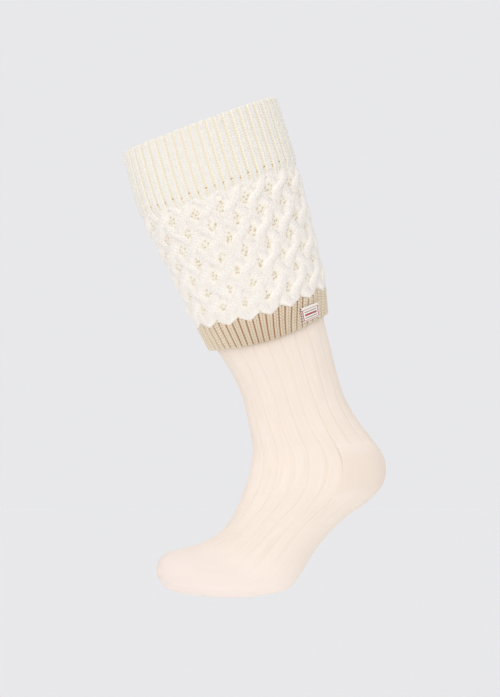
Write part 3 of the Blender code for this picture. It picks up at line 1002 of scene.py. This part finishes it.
band_wall = 0.0042
band_ribs = 54
band_course = 0.0026
band_groove_share = 0.24
band_groove = 0.0022
band_middle = 0.0014
band_middle_shade = 0.28
band_crease_shade = 0.28
hem_inside = 0.012
hem_lobe = 0.0016
lean_mean = 0.3
lean_swing = 0.5
lean_from = 0.15
seam_run = 0.002
seam_drop = 0.0012
ply_wales = 1.6
ply_courses = 1.3
ply_wander = 260.0
ply_share = 0.45
marl_scale = 700.0
tan_crease_shade = 0.13
tan_stitch_depth = 0.00022
TAN = (255, 248, 228)
TAN_DARK = (255, 238, 206)
# Painted shade for the grooves and between the stitches, and painted shadow at the groove bottoms.
TAN_GROOVE_SHADE = (172, 116, 60)
TAN_HOLE_SHADOW = (94, 60, 28)


def tan_knit():
    """Marled tan wool: light and dark plies side by side, with brown painted shade in the grooves
    and a darker painted shadow at their bottoms.
    """
    yarn = Yarn("tan_marl_knit", roughness=0.92, sheen=0.2)
    wale, course = yarn.stitch_coordinates()
    twist_across = yarn.reckon("MULTIPLY", wale, ply_wales)
    twist = yarn.reckon("ADD", twist_across, yarn.reckon("MULTIPLY", course, ply_courses))
    plies = yarn.reckon("FRACT", yarn.reckon("ADD", twist, yarn.noise(ply_wander, 2.0)))
    dark_ply = yarn.reckon("GREATER_THAN", plies, ply_share)
    marl = yarn.reckon("MULTIPLY", yarn.noise(marl_scale, 2.0), dark_ply)
    stitches = yarn.stitches()
    shade = yarn.mix(marl, linear(TAN), linear(TAN_DARK))
    shade = yarn.creased(shade, stitches, TAN_GROOVE_SHADE, tan_crease_shade)
    fibres = yarn.bump(yarn.noise(chunky_fibres, 3.0), chunky_fibre_depth)
    relief = yarn.bump(stitches, tan_stitch_depth, fibres)
    return yarn.finished(yarn.sunk(shade, TAN_GROOVE_SHADE, TAN_HOLE_SHADOW), relief)


band = Knit()
band_top = rib_length + cable_length
hem_round = band_wall / 2
band_way = band_length + pi * hem_round / 2
hem_columns = rib_columns(band_groove_share, band_groove, band_middle, band_middle_shade)
grid = rib_grid(band_ribs, hem_columns, band_way + hem_inside, band_course, band_crease_shade)
way, band_turns, band_drops, band_recess, band_wales = grid

# The way runs down the outside, round the hem and a little up the inside.
flat = band_length - hem_round
angle = np.clip((way - flat) / hem_round, 0, pi)
down = np.where(way < flat, way, flat + hem_round * np.sin(angle))
down = np.where(way > flat + pi * hem_round, flat - (way - flat - pi * hem_round), down)
drops = band_drops * np.where(way > flat + hem_round * 2, inside_share, 1.0)
height = cuff_ease + hem_round + hem_round * np.cos(angle) - drops * np.cos(angle)
height = height - np.clip(1 - way / seam_run, 0, 1) * seam_drop

# The ribs lean one way and the other around the leg, and end in small lobes at the hem.
lift = np.clip(1 - down / band_length, 0, 1)
lean = lean_mean + lean_swing * np.cos(4 * pi * (band_turns - lean_from))
leant_turns = band_turns[None, :] + lean[None, :] * (down - band_length / 2)
lobes = hem_lobe * np.clip(1 - 2 * band_recess, 0, 1) * (1 - lift)
down = band_top + down + lobes - lift * scallop_at(leant_turns)
band_points = cuff_place(down, leant_turns, height)
band_courses = closed(way) / band_course
band.add(band_points, band_wales[None, :], band_courses, band_recess, wraps=True)
band.piece("cuff_band_knit", tan_knit(), "cuff_band")


# Label: a small woven patch with plain stripes, lying on the ribs of the band and tacked with
# a few stitches at one end.

label_width = 0.020
label_height = 0.014
label_thickness = 0.0008
label_turn = 0.116
label_drop = 0.0032
label_slant = 5
label_gap = 0.0003
label_columns = 36
label_rows = 31
label_edge = 0.0008
label_rim = 0.25
ripple_height = 0.00012
ripples_across = 5
ripples_down = 3
border_from = 0.77
border_to = 0.86
border_middle = 0.56
border_stretch = 2.3
stripes_within = 0.64
tack_count = 6
tack_share = 0.6
tack_reach = 0.05
warp_threads = 40
weft_threads = 34
weave_depth = 0.00012
LABEL_WHITE = (245, 238, 231)
LABEL_ROSE = (176, 84, 84)
LABEL_GREY = (128, 122, 120)
LABEL_THREAD = (116, 44, 44)

# Where each stripe starts, as a share of the label's height from its top.
Stripe = namedtuple("Stripe", "start colour")
LABEL_STRIPES = [
    Stripe(0.00, LABEL_WHITE),
    Stripe(0.34, LABEL_GREY),
    Stripe(0.40, LABEL_WHITE),
    Stripe(0.50, LABEL_ROSE),
    Stripe(0.64, LABEL_WHITE),
    Stripe(0.74, LABEL_GREY),
    Stripe(0.80, LABEL_WHITE),
]


def woven_label():
    """A close satin weave with a plain border, plain stripes, and stitches along one end."""
    yarn = Yarn("woven_label", roughness=0.6, sheen=0.1)
    across, down = yarn.stitch_coordinates()
    side = yarn.reckon("MULTIPLY", yarn.off_middle(across), 2.0)
    end = yarn.reckon("MULTIPLY", yarn.off_middle(down, border_middle), border_stretch)
    reach = yarn.reckon("MAXIMUM", side, end)
    past_inner = yarn.reckon("GREATER_THAN", reach, border_from)
    border = yarn.reckon("MULTIPLY", past_inner, yarn.reckon("LESS_THAN", reach, border_to))
    stripes = yarn.node("ShaderNodeValToRGB", {0: down})
    ramp = stripes.color_ramp
    ramp.interpolation = "CONSTANT"
    ramp.elements.remove(ramp.elements[1])
    ramp.elements[0].color = linear(LABEL_STRIPES[0].colour)
    for stripe in LABEL_STRIPES[1:]:
        ramp.elements.new(stripe.start).color = linear(stripe.colour)
    inside_border = yarn.reckon("LESS_THAN", side, stripes_within)
    shade = yarn.mix(inside_border, linear(LABEL_WHITE), stripes.outputs[0])
    shade = yarn.mix(border, shade, linear(LABEL_ROSE))
    along_end = yarn.reckon("FRACT", yarn.reckon("MULTIPLY", down, float(tack_count)))
    tacks = yarn.reckon("LESS_THAN", along_end, tack_share)
    tacks = yarn.reckon("MULTIPLY", yarn.reckon("LESS_THAN", across, tack_reach), tacks)
    shade = yarn.mix(tacks, shade, linear(LABEL_THREAD))
    warp = yarn.humps(yarn.reckon("MULTIPLY", across, warp_threads * pi))
    weft = yarn.humps(yarn.reckon("MULTIPLY", down, weft_threads * pi))
    return yarn.finished(shade, yarn.bump(yarn.reckon("MULTIPLY", warp, weft), weave_depth))


label = Knit()
label_centre = band_top + band_length / 2 + label_drop
label_base = cuff_ease + band_wall + label_gap
label_span = label_width / ring_length(label_centre)
across = np.linspace(0, 1, label_columns + 1)[None, :]
down = np.linspace(0, 1, label_rows + 1)[:, None]
from_side = np.minimum(across, 1 - across) * label_width
from_end = np.minimum(down, 1 - down) * label_height
puff = np.sqrt(np.clip(np.minimum(from_side, from_end) / label_edge, 0, 1))
ripple = ripple_height * np.sin(across * ripples_across * pi) * np.sin(down * ripples_down * pi)
slant = np.tan(radians(label_slant))
label_points = cuff_place(
    label_centre + label_height * (down - 0.5) + label_width * (across - 0.5) * slant,
    label_turn + label_span * (0.5 - across),
    label_base + label_thickness * (label_rim + (1 - label_rim) * puff) + ripple,
)
label.add(label_points[:, ::-1], across[:, ::-1], down, 0.0)
label.piece("label_woven", woven_label(), "label")


# Studio: a plain pale floor well below the sock, even light from all round, a broad soft lamp
# from the front left and a low one that fills in from the floor. The camera looks level at
# the sock's side.

ground_below = 0.28
floor_radius = 7.0
floor_sides = 96
FLOOR_GREY = (233, 233, 233)
BACKDROP_GREY = (232, 232, 234)
lamp_energy = 1.1
lamp_spread = 110
lamp_tilt = 62
lamp_turn = -18
fill_energy = 1.5
fill_size = 1.3
fill_forward = 0.5
fill_above_floor = 0.01
camera_distance = 3.0
camera_middle = (0.051, -0.224)
frame_height = 0.697
film_width = 36.0

world = bpy.data.worlds.new("studio")
world.use_nodes = True
world.node_tree.nodes["Background"].inputs[0].default_value = linear(BACKDROP_GREY)
bpy.context.scene.world = world
bpy.context.scene.view_settings.view_transform = "Standard"

floor_paint = bpy.data.materials.new("pale_floor")
floor_paint.use_nodes = True
floor_shader = floor_paint.node_tree.nodes["Principled BSDF"]
floor_shader.inputs["Base Color"].default_value = linear(FLOOR_GREY)
floor_shader.inputs["Roughness"].default_value = 0.9
floor_mesh = bpy.data.meshes.new("floor")
floor_angles = np.arange(floor_sides) / floor_sides * 2 * pi
floor_z = cad_box[0][2] - ground_below
floor_ring = [(floor_radius * np.cos(a), floor_radius * np.sin(a), floor_z) for a in floor_angles]
floor_mesh.from_pydata(floor_ring, [], [list(range(floor_sides))])
floor_mesh.materials.append(floor_paint)
floor = put_in_scene("floor", floor_mesh)

lamp_data = bpy.data.lights.new("soft_lamp", "SUN")
lamp_data.angle = radians(lamp_spread)
lamp_data.energy = lamp_energy
lamp = put_in_scene("soft_lamp", lamp_data)
lamp.rotation_euler = (radians(lamp_tilt), 0.0, radians(lamp_turn))

fill_data = bpy.data.lights.new("low_fill", "AREA")
fill_data.shape = "DISK"
fill_data.size = fill_size
fill_data.energy = fill_energy
fill = put_in_scene("low_fill", fill_data)
fill.location = (0.0, -fill_forward, floor_z + fill_above_floor)
fill.rotation_euler = (radians(180), 0.0, 0.0)
fill.visible_camera = False

camera_data = bpy.data.cameras.new("camera")
camera_data.sensor_width = film_width
camera_data.lens = film_width * camera_distance / frame_height
camera = put_in_scene("camera", camera_data)
camera.location = (camera_middle[0], -camera_distance, camera_middle[1])
camera.rotation_euler = (radians(90), 0.0, 0.0)
bpy.context.scene.camera = camera
